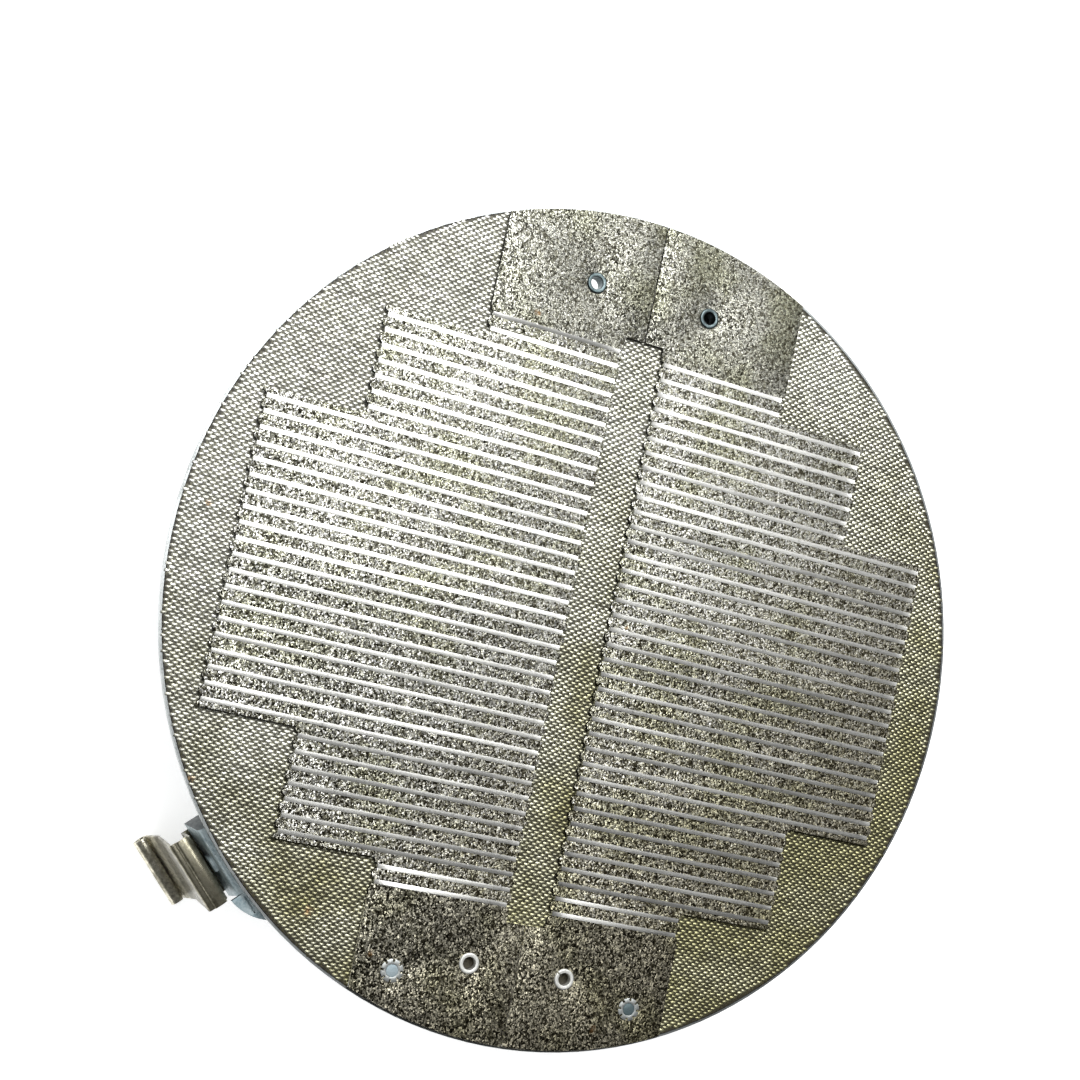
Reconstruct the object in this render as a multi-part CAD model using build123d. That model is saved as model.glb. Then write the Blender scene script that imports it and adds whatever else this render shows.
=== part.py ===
"""Electric disc burner: two ribbon-wound mica cards on an insulated steel pan, with a rim clip.

The disc axis is Z and the windings face +Z. The origin is the centre of the pan's rear face.
+X is to the right and +Y is up as the windings are seen. The rim bracket and the clip are drawn
in their own axes, with X outwards along the radius and Y along the rim, then turned into place.
"""
import os
from math import asin, atan2, cos, degrees, hypot, radians, sin, sqrt

from build123d import *

# Disc, in millimetres
disc_diameter = 200.0
pan_sheet = 0.6
rim_wall = 0.5
rim_bend = 0.4
mica_thickness = 0.5
board_thickness = 1.2
board_clearance = 0.15

# Winding cards
card_thickness = 0.8
pad_half_width = 39.4
middle_half_width = 63.7
wide_half_width = 86.7
gap_half_width = 5.0
seam_width = 0.3
notch_depth = 0.9
notch_clearance = 0.2
pad_margin = 2.1

# Resistance ribbon: the runs on each card, counted from the middle outwards
ribbon_width = 1.0
ribbon_thickness = 0.15
ribbon_pitch = 3.61
wide_runs = 20
middle_runs = 7
pad_runs = 2

# Eyelets
eyelet_tube_radius = 1.9
eyelet_bore_radius = 1.55
eyelet_ring_radius = 2.5
eyelet_ring_height = 0.45
eyelet_foot = 0.2
hole_clearance = 0.05
link_eyelet_at = (15.1, 81.0)
lead_eyelet_at = (12.1, -81.5)

# Star eyelets and terminals
star_at = (30.1, -86.0)
star_tube_radius = 2.0
star_bore_radius = 1.5
petal_radius = 2.7
petal_thickness = 0.3
petal_count = 8
petal_gap = 0.55
pin_clearance = 0.05
pin_stand = 0.05
pin_head_radius = 2.6
pin_head_height = 1.0
bush_flange_radius = 6.0
bush_neck_radius = 4.0
bush_height = 2.0
bush_gap = 0.1
tab_sheet = 0.8
tab_width = 6.3
tab_pad = 8.0
tab_length = 8.0
tab_reach = 6.0
tab_hole_radius = 0.8

# Links and straps under the cards
strap_thickness = 0.15
strap_width = 5.0
link_width = 6.0
pan_hole_radius = 4.0
pan_pocket_depth = 1.6

# Rim bracket
bracket_angle = 223.4
bracket_sheet = 1.0
bracket_inner = 82.0
bracket_top_reach = 101.0
bracket_lip_reach = 101.7
bracket_top_half = 8.6
bracket_lip_half = 9.85
bracket_drop = 11.7
ear_reach = 102.9
ear_end = 17.6
groove_width = 0.4
groove_depth = 0.75
groove_reach = 100.35
ear_groove_reach = 99.75
bead_radius = 2.4
bead_height = 0.6
bracket_bend = 1.8
rivet_radius = 1.5
rivet_head_radius = 2.9
rivet_head_height = 0.45
rivet_tail_radius = 2.6
rivet_tail_height = 0.9
rivet_spacing = 8.0

# Spring clip
clip_sheet = 0.6
clip_width = 17.4
clip_gap = 1.2
neck_half = 8.3
saddle_height = -2.2
saddle_width = 2.9
ledge_step = 0.7
ledge_slope = 0.4
ledge_width = 1.2
waist_level = -23.0
leg_lean = 0.6
flare_level = -33.0
flare_reach = 1.55
curl_radius = 1.55
curl_turn = 292.0
foot_bend = 0.5
saddle_bend = 1.6
ledge_bend = 0.4
outer_bend = 0.5
waist_bend = 5.0

# Levels of the stack
pan_radius = disc_diameter / 2
board_radius = pan_radius - rim_wall - board_clearance
mica_top = pan_sheet + mica_thickness
board_top = mica_top + board_thickness
strap_bottom = board_top + eyelet_foot
strap_top = strap_bottom + strap_thickness
card_bottom = strap_top + ribbon_thickness
card_top = card_bottom + card_thickness
petal_top = card_top + petal_thickness
tab_top = -bush_height
tab_bottom = tab_top - tab_sheet
lip_level = -bracket_drop
foot_bottom = lip_level - clip_sheet

os.makedirs("parts", exist_ok=True)


def disc(radius, low, high, at=(0.0, 0.0)):
    """A round plate or pin between two levels."""
    return Pos(at[0], at[1], (low + high) / 2) * Cylinder(radius, high - low)


def slab(x_range, y_range, z_range):
    """A box given by its limits on each axis."""
    sizes = [high - low for low, high in (x_range, y_range, z_range)]
    middle = [(high + low) / 2 for low, high in (x_range, y_range, z_range)]
    return Pos(*middle) * Box(*sizes)


def plate(corners, low, high):
    """A flat plate with straight sides between two levels."""
    outline = Polyline(*[(x, y, low) for x, y in corners], close=True)
    return extrude(make_face(outline), amount=high - low, dir=(0, 0, 1))


def strip_between(start, end, width, low, high):
    """A flat strip with square ends along the line from start to end."""
    length = hypot(end[0] - start[0], end[1] - start[1])
    turn = degrees(atan2(end[1] - start[1], end[0] - start[0]))
    middle = ((start[0] + end[0]) / 2, (start[1] + end[1]) / 2, (low + high) / 2)
    return Pos(*middle) * Rot(0, 0, turn) * Box(length, width, high - low)


def on_left(shape):
    """The mirror image on the left half of the disc."""
    return mirror(shape, about=Plane.YZ)


def at_bracket(shape):
    """Turns a shape from the bracket's own axes to its place on the rim."""
    return Rot(0, 0, bracket_angle) * shape


def write(name, shape):
    """Writes one node as its own STEP file."""
    shape.label = name
    export_step(shape, f"parts/{name}.step")


def run_levels():
    """The y of each ribbon run with the half width of the card there, from the top down."""
    total = wide_runs + 2 * (middle_runs + pad_runs)
    widths = [pad_half_width] * pad_runs + [middle_half_width] * middle_runs
    widths = widths + [wide_half_width] * wide_runs + widths[::-1]
    return [((total - 1) / 2 * ribbon_pitch - i * ribbon_pitch, widths[i]) for i in range(total)]


runs = run_levels()
gap_half_length = runs[0][0] + ribbon_pitch / 2 + pad_margin
notch_half = (ribbon_width + notch_clearance) / 2
inner_notch = gap_half_width + notch_depth


def notched_edge(levels, tip_x, inward):
    """The points and arcs of a card edge down one group of runs, with a lobe between notches.

    inward is +1 where the card's material lies towards +X of the edge, and -1 otherwise.
    """
    floor_x = tip_x + inward * notch_depth
    corner_x = tip_x + inward * notch_depth * (1 - cos(radians(45)))
    rise = notch_depth
    pieces = []
    for i, level in enumerate(levels):
        upper = level + notch_half
        lower = level - notch_half
        if i == 0:
            shoulder = upper + rise
            middle = (corner_x, shoulder - rise * sin(radians(45)))
            pieces.append(("start", (tip_x, shoulder)))
            pieces.append(("arc", middle, (floor_x, upper)))
        pieces.append(("line", (floor_x, lower)))
        if i + 1 < len(levels):
            next_upper = levels[i + 1] + notch_half
            pieces.append(("arc", (tip_x, (lower + next_upper) / 2), (floor_x, next_upper)))
        else:
            shoulder = lower - rise
            middle = (corner_x, shoulder + rise * sin(radians(45)))
            pieces.append(("arc", middle, (tip_x, shoulder)))
    return pieces


def card_outline():
    """The closed outline of the right-hand card at its lower face."""
    def at(point):
        return (point[0], point[1], card_bottom)

    seam_x = seam_width / 2
    seam_y = sqrt(board_radius ** 2 - seam_x ** 2)
    pad_y = sqrt(board_radius ** 2 - pad_half_width ** 2)
    here = (seam_x, seam_y)
    edges = []

    def line_to(point):
        nonlocal here
        edges.append(Line(at(here), at(point)))
        here = point

    def arc_to(middle, point):
        nonlocal here
        edges.append(ThreePointArc(at(here), at(middle), at(point)))
        here = point

    def follow(pieces):
        for piece in pieces:
            if piece[0] == "arc":
                arc_to(piece[1], piece[2])
            else:
                line_to(piece[1])

    line_to((seam_x, gap_half_length))
    line_to((gap_half_width, gap_half_length))
    follow(notched_edge([level for level, _ in runs], gap_half_width, 1))
    line_to((gap_half_width, -gap_half_length))
    line_to((seam_x, -gap_half_length))
    line_to((seam_x, -seam_y))
    half_turn = (asin(seam_x / board_radius) + asin(pad_half_width / board_radius)) / 2
    arc_to((board_radius * sin(half_turn), -board_radius * cos(half_turn)), (pad_half_width, -pad_y))

    outer = []
    first = 0
    for count in (pad_runs, middle_runs, wide_runs, middle_runs, pad_runs):
        group = runs[first:first + count]
        outer.append((group[0][1], [level for level, _ in group]))
        first = first + count
    for i, (tip_x, levels) in enumerate(reversed(outer)):
        if i > 0:
            step_y = levels[-1] - ribbon_pitch / 2
            line_to((here[0], step_y))
            line_to((tip_x, step_y))
        downwards = notched_edge(levels, tip_x, -1)
        upwards = [("line", downwards[-1][2])]
        for k in range(len(downwards) - 1, 0, -1):
            target = downwards[k - 1][-1]
            if downwards[k][0] == "arc":
                upwards.append(("arc", downwards[k][1], target))
            else:
                upwards.append(("line", target))
        follow(upwards)
    line_to((pad_half_width, pad_y))
    arc_to((board_radius * sin(half_turn), board_radius * cos(half_turn)), (seam_x, seam_y))
    return Wire(edges)


def winding_card():
    """The right-hand mica card with its eyelet holes."""
    card = extrude(Face(card_outline()), amount=card_thickness, dir=(0, 0, 1))
    for at in (link_eyelet_at, lead_eyelet_at):
        card -= disc(eyelet_tube_radius + hole_clearance, card_bottom - 1, card_top + 1, at)
    return card - disc(star_tube_radius + hole_clearance, card_bottom - 1, card_top + 1, star_at)


def ribbon():
    """The right-hand ribbon: straight runs in front, slanted runs behind, and two tails."""
    half = ribbon_width / 2
    back = (card_bottom - ribbon_thickness, card_bottom)
    front = (card_top, card_top + ribbon_thickness)
    around = (back[0], front[1])
    inner = (inner_notch - ribbon_thickness, inner_notch)
    pieces = []
    for i, (level, half_width) in enumerate(runs):
        outer = (half_width - notch_depth, half_width - notch_depth + ribbon_thickness)
        band = (level - half, level + half)
        pieces.append(slab((inner[0], outer[1]), band, front))
        pieces.append(slab(inner, band, around))
        pieces.append(slab(outer, band, around))
        if i + 1 < len(runs):
            below, next_half = runs[i + 1]
            reach = next_half - notch_depth + ribbon_thickness
            corners = [(inner[0], level - half), (reach, below - half)]
            corners += [(reach, below + half), (inner[0], level + half)]
            pieces.append(plate(corners, *back))

    def tail(start_x, level, eyelet, edge_x):
        """The end of the ribbon, from its last notch to the side of an eyelet's tube."""
        start = (start_x, level)
        span = hypot(eyelet[0] - start_x, eyelet[1] - level)
        short = eyelet_tube_radius + 2 * hole_clearance
        end = (eyelet[0] - (eyelet[0] - start_x) * short / span,
               eyelet[1] - (eyelet[1] - level) * short / span)
        pieces.append(strip_between(start, end, ribbon_width, *back))
        landing = (min(edge_x, start_x - half), max(edge_x, start_x + half))
        pieces.append(slab(landing, (level - half, level + half), back))

    top_level, top_half = runs[0]
    outer_edge = top_half - notch_depth + ribbon_thickness
    tail(outer_edge - ribbon_width, top_level, link_eyelet_at, outer_edge)
    tail(inner[0] + ribbon_width, runs[-1][0], lead_eyelet_at, inner[0])
    return pieces[0].fuse(*pieces[1:])


def eyelet(at, foot_low, foot_high):
    """A hollow eyelet with a rolled ring on the card and a flat foot below."""
    ring = disc(eyelet_ring_radius, card_top, card_top + eyelet_ring_height, at)
    ring = fillet(ring.edges().group_by(Axis.Z)[-1], eyelet_ring_height * 0.8)
    body = ring + disc(eyelet_tube_radius, foot_low, card_top, at)
    body += disc(eyelet_ring_radius, foot_low, foot_high, at)
    return body - disc(eyelet_bore_radius, foot_low - 1, card_top + 2, at)


def lead_eyelet(split):
    """The ring eyelet of a lead, which holds only the card and the strap."""
    ring = eyelet(lead_eyelet_at, board_top, strap_bottom)
    if not split:
        return ring
    x, y = lead_eyelet_at
    reach = eyelet_ring_radius + 1
    cut = slab((-reach, -eyelet_bore_radius + 0.2), (-0.15, 0.15), (card_top, card_top + 1))
    return ring - Pos(x, y, 0) * Rot(0, 0, -35) * cut


def star_eyelet():
    """An eyelet whose end is split into petals that are clinched onto the card."""
    crown = disc(petal_radius, card_top, petal_top, star_at)
    for i in range(petal_count):
        turn = Rot(0, 0, i * 360 / petal_count)
        notch = slab((star_tube_radius, petal_radius + 1), (-petal_gap / 2, petal_gap / 2), (card_top, petal_top))
        crown -= Pos(star_at[0], star_at[1], 0) * turn * notch
    foot_low = pan_sheet - eyelet_foot
    body = crown + disc(star_tube_radius, foot_low, petal_top, star_at)
    body += disc(petal_radius, foot_low, pan_sheet, star_at)
    return body - disc(star_bore_radius, foot_low - 1, petal_top + 1, star_at)


def terminal_pin():
    """The solid pin inside a star eyelet, headed behind the blade terminal."""
    pin = disc(star_bore_radius - pin_clearance, tab_bottom, petal_top + pin_stand, star_at)
    head = disc(pin_head_radius, tab_bottom - pin_head_height, tab_bottom, star_at)
    head = fillet(head.edges().group_by(Axis.Z)[0], pin_head_height / 2)
    return pin + head


def terminal_bush():
    """The ceramic bush that keeps a terminal pin clear of the pan."""
    neck_top = pan_sheet - eyelet_foot - bush_gap
    body = disc(bush_neck_radius, -bush_height, neck_top, star_at)
    flange = disc(bush_flange_radius, -bush_height, 0, star_at)
    flange = chamfer(flange.edges().group_by(Axis.Z)[0], bush_height / 5)
    return body + flange - disc(star_bore_radius + pin_clearance, -bush_height - 1, neck_top + 1, star_at)


def terminal_tab():
    """The blade terminal, with its pad under the bush and its blade pointing away from the disc."""
    x, y = star_at
    across = tab_pad / 2
    blade_y = y + tab_reach
    pad = slab((x - across, x + across), (y - across, blade_y), (tab_bottom, tab_top))
    blade_low = tab_top - tab_length - tab_sheet
    blade_x = (x - tab_width / 2, x + tab_width / 2)
    blade = slab(blade_x, (blade_y - tab_sheet, blade_y), (blade_low, tab_top))
    tips = blade.edges().filter_by(Axis.Y).group_by(Axis.Z)[0]
    blade = chamfer(tips, tab_sheet)
    eye = Pos(x, blade_y, (blade_low + tab_bottom) / 2) * Rot(90, 0, 0) * Cylinder(tab_hole_radius, 4 * tab_sheet)
    hole = disc(star_bore_radius - pin_clearance + hole_clearance, tab_bottom - 1, tab_top + 1, star_at)
    return pad + blade - eye - hole


def lead_strap():
    """The strip from a lead eyelet to its star eyelet, under the card."""
    body = strip_between(lead_eyelet_at, star_at, strap_width, strap_bottom, strap_top)
    for at in (lead_eyelet_at, star_at):
        body += disc(strap_width / 2, strap_bottom, strap_top, at)
    body -= disc(eyelet_tube_radius + hole_clearance, strap_bottom - 1, strap_top + 1, lead_eyelet_at)
    return body - disc(star_tube_radius + hole_clearance, strap_bottom - 1, strap_top + 1, star_at)


def series_link():
    """The strip that joins the two link eyelets under the top pads."""
    x, y = link_eyelet_at
    body = slab((-x, x), (y - link_width / 2, y + link_width / 2), (board_top, strap_top))
    for side in (-1, 1):
        body += disc(link_width / 2, board_top, strap_top, (side * x, y))
    for side in (-1, 1):
        body -= disc(eyelet_tube_radius + hole_clearance, board_top - 1, strap_top + 1, (side * x, y))
    return body


rivet_radius_from_axis = (bracket_inner + pan_radius) / 2


def pan_rivet_places():
    """The rivets through the pan, on the disc's axes."""
    turn = radians(bracket_angle)
    places = []
    for side in (-1, 1):
        along = side * rivet_spacing / 2
        x = rivet_radius_from_axis * cos(turn) - along * sin(turn)
        y = rivet_radius_from_axis * sin(turn) + along * cos(turn)
        places.append((x, y))
    return places


def carrier_pan():
    """The steel pan: a floor, a thin rim, and the openings that keep live pieces clear of it."""
    pan = disc(pan_radius, 0, board_top)
    pan = fillet(pan.edges().group_by(Axis.Z)[0], rim_bend)
    pan -= disc(pan_radius - rim_wall, pan_sheet, board_top + 1)
    x, y = link_eyelet_at
    pan += disc(pan_hole_radius + pan_sheet, -pan_pocket_depth, pan_sheet / 2, (x, y))
    pan -= disc(pan_hole_radius, pan_sheet - pan_pocket_depth, pan_sheet + 1, (x, y))
    pan -= disc(pan_hole_radius, -1, pan_sheet + 1, (-x, y))
    for side in (-1, 1):
        pan -= disc(bush_neck_radius + hole_clearance, -1, pan_sheet + 1, (side * star_at[0], star_at[1]))
    for at in pan_rivet_places():
        pan -= disc(rivet_radius + hole_clearance, -1, pan_sheet + 1, at)
    return pan


def pierced_disc(low, high, rivet_hole):
    """An insulating disc with the eyelet holes, and room for the rivet heads where they reach it."""
    body = disc(board_radius, low, high)
    for side in (-1, 1):
        link = (side * link_eyelet_at[0], link_eyelet_at[1])
        star = (side * star_at[0], star_at[1])
        body -= disc(eyelet_tube_radius + hole_clearance, low - 1, high + 1, link)
        body -= disc(star_tube_radius + hole_clearance, low - 1, high + 1, star)
    if rivet_hole:
        for at in pan_rivet_places():
            body -= disc(rivet_head_radius + 4 * hole_clearance, low - 1, high + 1, at)
    return body


def tapered_box(inner, reach, lip_reach, half, lip_half, top, bottom):
    """A box that widens from its top to its bottom on the outer side and both ends."""
    upper = [(inner, -half, top), (reach, -half, top), (reach, half, top), (inner, half, top)]
    lower = [(inner, -lip_half, bottom), (lip_reach, -lip_half, bottom)]
    lower += [(lip_reach, lip_half, bottom), (inner, lip_half, bottom)]
    outlines = [upper, lower]
    for i in range(4):
        k = (i + 1) % 4
        outlines.append([upper[i], upper[k], lower[k], lower[i]])
    faces = [Face(Wire.make_polygon(corners)) for corners in outlines]
    return Solid(Shell(faces))


def bracket_ear():
    """The flat ear on the lower side of the bracket, with its rounded outline."""
    start = (ear_reach, bracket_top_half, -bracket_sheet)
    bulge = (ear_reach - 1.4, (bracket_top_half + ear_end) / 2, -bracket_sheet)
    end = (ear_reach - 5.6, ear_end, -bracket_sheet)
    back = bracket_inner + 6
    edges = [ThreePointArc(start, bulge, end), Line(end, (back, ear_end, -bracket_sheet))]
    edges.append(Line((back, ear_end, -bracket_sheet), (back, bracket_top_half, -bracket_sheet)))
    edges.append(Line((back, bracket_top_half, -bracket_sheet), start))
    return extrude(Face(Wire(edges)), amount=bracket_sheet, dir=(0, 0, 1))


def rim_bracket():
    """The bracket: a tapered box, open towards the disc's axis, with an ear and two scored grooves."""
    wall = bracket_sheet
    body = tapered_box(bracket_inner, bracket_top_reach, bracket_lip_reach,
                       bracket_top_half, bracket_lip_half, 0, lip_level)
    top_edges = body.edges().group_by(Axis.Z)[-1]
    body = fillet(top_edges.sort_by(Axis.X)[-1], bracket_bend)
    room = tapered_box(bracket_inner - 5, bracket_top_reach - wall, bracket_lip_reach - wall,
                       bracket_top_half - wall, bracket_lip_half - wall, -wall, lip_level + wall)
    body = body - room + bracket_ear()
    web_middle = (bracket_top_reach + bracket_lip_reach) / 2
    bead_reach = wall / 2 + bead_height
    bead = Pos(web_middle - wall / 2 + bead_reach / 2, 0, lip_level / 2) * Rot(0, 90, 0)
    dome = Cylinder(bead_radius, bead_reach + wall / 2)
    dome = fillet(dome.edges().group_by(Axis.Z)[-1], bead_height * 0.95)
    body += bead * dome
    along = (-bracket_top_half * 0.75, -bracket_top_half * 0.25)
    body -= slab((groove_reach, groove_reach + groove_width), along, (-groove_depth, 1))
    along = (bracket_top_half + 0.8, bracket_top_half + 5.2)
    body -= slab((ear_groove_reach, ear_groove_reach + groove_width), along, (-groove_depth, 1))
    for side in (-1, 1):
        along = side * rivet_spacing / 2
        hole = rivet_radius + hole_clearance
        body -= disc(hole, -2 * wall, 1, (rivet_radius_from_axis, along))
        body -= disc(hole, lip_level - 1, lip_level + 2 * wall, (clip_rivet_x, along))
    return body


clip_inner = bracket_lip_reach + clip_gap
clip_rivet_x = bracket_lip_reach - 2 * rivet_tail_radius


def spring_clip():
    """The spring strip: a foot under the bracket, a saddle, a long leg and a rolled lip."""
    half = clip_sheet / 2
    foot_x = clip_rivet_x - rivet_tail_radius - 1
    leg_x = clip_inner + half
    saddle_z = saddle_height - half
    ledge_x = leg_x + saddle_width
    ledge_z = saddle_z - ledge_step
    outer_x = ledge_x + ledge_slope + ledge_width
    waist_x = outer_x - leg_lean
    flare_x = waist_x + flare_reach
    bends = [foot_bend, saddle_bend, ledge_bend, ledge_bend, outer_bend, waist_bend]
    path = FilletPolyline((foot_x, lip_level - half), (leg_x, lip_level - half), (leg_x, saddle_z),
                          (ledge_x, saddle_z), (ledge_x + ledge_slope, ledge_z), (outer_x, ledge_z),
                          (waist_x, waist_level), (flare_x, flare_level), radius=bends)
    flare_turn = atan2(flare_reach, waist_level - flare_level)
    curl_x = flare_x + curl_radius * cos(flare_turn)
    curl_z = flare_level + curl_radius * sin(flare_turn)
    curl = CenterArc((curl_x, curl_z), curl_radius, 180 + degrees(flare_turn), curl_turn)
    centre = Wire(list(path.edges()) + [curl.edge()])
    section = make_face(centre.offset_2d(half, kind=Kind.ARC, side=Side.BOTH))
    body = extrude(Plane.XZ * section, amount=clip_width / 2, both=True)
    neck_x = (foot_x - 1, leg_x + half)
    neck_z = (foot_bottom - 1, saddle_height - clip_sheet)
    for side in (-1, 1):
        body -= slab(neck_x, tuple(sorted((side * neck_half, side * clip_width))), neck_z)
    for side in (-1, 1):
        at = (clip_rivet_x, side * rivet_spacing / 2)
        body -= disc(rivet_radius + hole_clearance, foot_bottom - 1, lip_level + 1, at)
    return body


def rivet(at, low, high, head_down):
    """A rivet between two levels, with a flat factory head and a domed tail."""
    shank = disc(rivet_radius, low, high, at)
    if head_down:
        head = disc(rivet_head_radius, low - rivet_head_height, low, at)
        tail = disc(rivet_tail_radius, high, high + rivet_tail_height, at)
        tail = fillet(tail.edges().group_by(Axis.Z)[-1], rivet_tail_height * 0.7)
    else:
        head = disc(rivet_head_radius, high, high + rivet_head_height, at)
        tail = disc(rivet_tail_radius, low - rivet_tail_height, low, at)
        tail = fillet(tail.edges().group_by(Axis.Z)[0], rivet_tail_height * 0.7)
    return shank + head + tail


def bracket_rivets():
    """The two rivets that hold the bracket to the pan, with their flat heads inside the pan."""
    return Compound(children=[rivet(at, -bracket_sheet, pan_sheet, False) for at in pan_rivet_places()])


def clip_rivets():
    """The two rivets that hold the clip's foot under the bracket."""
    places = [(clip_rivet_x, side * rivet_spacing / 2) for side in (-1, 1)]
    solids = [at_bracket(rivet(at, foot_bottom, lip_level + bracket_sheet, True)) for at in places]
    return Compound(children=solids)


write("carrier_pan", carrier_pan())
write("mica_sheet", pierced_disc(pan_sheet, mica_top, True))
write("base_board", pierced_disc(mica_top, board_top, False))
right_card = winding_card()
write("right_winding_card", right_card)
write("left_winding_card", on_left(right_card))
right_ribbon = ribbon()
write("right_ribbon", right_ribbon)
write("left_ribbon", on_left(right_ribbon))
link_foot = (pan_sheet - eyelet_foot, pan_sheet)
right_link = eyelet(link_eyelet_at, *link_foot)
write("right_link_eyelet", right_link)
write("left_link_eyelet", on_left(right_link))
write("right_lead_eyelet", lead_eyelet(True))
write("left_lead_eyelet", on_left(lead_eyelet(False)))
for node, shape in (("star_eyelet", star_eyelet()), ("terminal_pin", terminal_pin()),
                    ("terminal_bush", terminal_bush()), ("terminal_tab", terminal_tab()),
                    ("lead_strap", lead_strap())):
    write("right_" + node, shape)
    write("left_" + node, on_left(shape))
write("series_link", series_link())
write("rim_bracket", at_bracket(rim_bracket()))
write("spring_clip", at_bracket(spring_clip()))
write("bracket_rivets", bracket_rivets())
write("clip_rivets", clip_rivets())
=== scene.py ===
import math
import random

import bmesh
import bpy
from mathutils import Matrix, Vector, noise


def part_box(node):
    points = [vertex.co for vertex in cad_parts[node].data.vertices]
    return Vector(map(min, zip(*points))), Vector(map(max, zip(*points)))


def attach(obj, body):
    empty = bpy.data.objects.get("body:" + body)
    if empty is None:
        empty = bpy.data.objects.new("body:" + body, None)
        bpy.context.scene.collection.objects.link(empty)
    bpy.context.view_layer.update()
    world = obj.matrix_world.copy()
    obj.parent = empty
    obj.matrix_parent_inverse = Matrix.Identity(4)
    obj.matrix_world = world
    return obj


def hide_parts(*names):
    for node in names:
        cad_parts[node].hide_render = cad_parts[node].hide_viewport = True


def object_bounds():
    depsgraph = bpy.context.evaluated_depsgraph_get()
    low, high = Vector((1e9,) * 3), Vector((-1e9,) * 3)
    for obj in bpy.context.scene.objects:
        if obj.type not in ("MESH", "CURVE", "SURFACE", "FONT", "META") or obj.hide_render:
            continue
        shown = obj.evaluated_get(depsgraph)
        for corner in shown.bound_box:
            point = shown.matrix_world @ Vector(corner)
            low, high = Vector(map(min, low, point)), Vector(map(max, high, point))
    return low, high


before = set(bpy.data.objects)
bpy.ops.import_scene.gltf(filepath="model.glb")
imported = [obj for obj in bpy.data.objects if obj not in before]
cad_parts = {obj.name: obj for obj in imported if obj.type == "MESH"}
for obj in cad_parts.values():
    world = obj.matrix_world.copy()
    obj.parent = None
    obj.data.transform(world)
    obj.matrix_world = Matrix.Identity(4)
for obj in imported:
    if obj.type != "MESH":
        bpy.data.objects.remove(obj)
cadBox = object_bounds()
scene = bpy.context.scene
mm = 0.001

view = {
    "place": (-0.1587, -0.0403, 0.3993),
    "right": (0.91239, 0.20115, 0.3565),
    "up": (-0.21149, 0.97733, -0.01017),
    "forward": (0.35046, 0.06611, -0.93424),
    "lens": 60.27,
    "sensor": 36.0,
    "shift": (0.0035, 0.1228),
}
studio = {
    "keyPlace": (0.02, 0.36, 0.66),
    "keySize": (0.42, 0.42),
    "keyPower": 7.0,
    "fillPlace": (-0.5, -0.2, 1.6),
    "fillSize": (2.2, 2.2),
    "fillPower": 22.0,
    "lightAim": (0.0, 0.0, 0.0),
    "skyColor": (1.0, 1.0, 1.0),
    "skyStrength": 0.05,
    "floorColor": (0.94, 0.94, 0.94),
    "floorGlow": 0.55,
    "floorRoughness": 0.9,
    "floorSize": 6.0,
    "floorGap": 0.0002,
    "nearest": 0.01,
    "farthest": 20.0,
}


def makeCamera():
    data = bpy.data.cameras.new("studioCamera")
    data.sensor_width = view["sensor"]
    data.lens = view["lens"]
    data.shift_x, data.shift_y = view["shift"]
    data.clip_start = studio["nearest"]
    data.clip_end = studio["farthest"]
    camera = bpy.data.objects.new("studioCamera", data)
    scene.collection.objects.link(camera)
    back = [-c for c in view["forward"]]
    axes = Matrix((view["right"], view["up"], back)).transposed()
    camera.matrix_world = Matrix.Translation(view["place"]) @ axes.to_4x4()
    scene.camera = camera


def areaLight(name, kind, glossy):
    place = studio[kind + "Place"]
    data = bpy.data.lights.new(name, "AREA")
    data.shape = "RECTANGLE"
    data.size, data.size_y = studio[kind + "Size"]
    data.energy = studio[kind + "Power"]
    light = bpy.data.objects.new(name, data)
    scene.collection.objects.link(light)
    light.location = place
    direction = Vector(studio["lightAim"]) - Vector(place)
    light.rotation_euler = direction.to_track_quat("-Z", "Y").to_euler()
    light.visible_glossy = glossy


def makeStudio():
    world = bpy.data.worlds.new("studioSky")
    scene.world = world
    world.use_nodes = True
    sky = world.node_tree.nodes["Background"]
    sky.inputs["Color"].default_value = (*studio["skyColor"], 1.0)
    sky.inputs["Strength"].default_value = studio["skyStrength"]
    areaLight("keyLight", "key", True)
    areaLight("fillLight", "fill", False)
    bm = bmesh.new()
    bmesh.ops.create_grid(bm, x_segments=1, y_segments=1, size=studio["floorSize"] / 2)
    bmesh.ops.translate(bm, verts=bm.verts, vec=(0, 0, cadBox[0].z - studio["floorGap"]))
    mesh = bpy.data.meshes.new("studioFloor")
    bm.to_mesh(mesh)
    bm.free()
    floor = bpy.data.objects.new("studioFloor", mesh)
    scene.collection.objects.link(floor)
    material = bpy.data.materials.new("floorPaper")
    material.use_nodes = True
    shader = material.node_tree.nodes["Principled BSDF"]
    shader.inputs["Base Color"].default_value = (*studio["floorColor"], 1.0)
    shader.inputs["Roughness"].default_value = studio["floorRoughness"]
    shader.inputs["Specular IOR Level"].default_value = 0.0
    shader.inputs["Emission Color"].default_value = (1.0, 1.0, 1.0, 1.0)
    shader.inputs["Emission Strength"].default_value = studio["floorGlow"]
    mesh.materials.append(material)


scene.view_settings.view_transform = "Standard"
makeCamera()
makeStudio()
print("stage: camera, light and floor")


# Short ways to add nodes to a tree.
def addNode(tree, kind, props=None, values=None, links=None):
    node = tree.nodes.new(kind)
    for key, value in (props or {}).items():
        setattr(node, key, value)
    for key, value in (values or {}).items():
        node.inputs[key].default_value = value
    for key, source in (links or {}).items():
        tree.links.new(source, node.inputs[key])
    return node


def addMath(tree, operation, first, second=None, third=None):
    node = tree.nodes.new("ShaderNodeMath")
    node.operation = operation
    for i, part in enumerate((first, second, third)):
        if part is None:
            continue
        if isinstance(part, (int, float)):
            node.inputs[i].default_value = part
        else:
            tree.links.new(part, node.inputs[i])
    return node.outputs[0]


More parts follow.
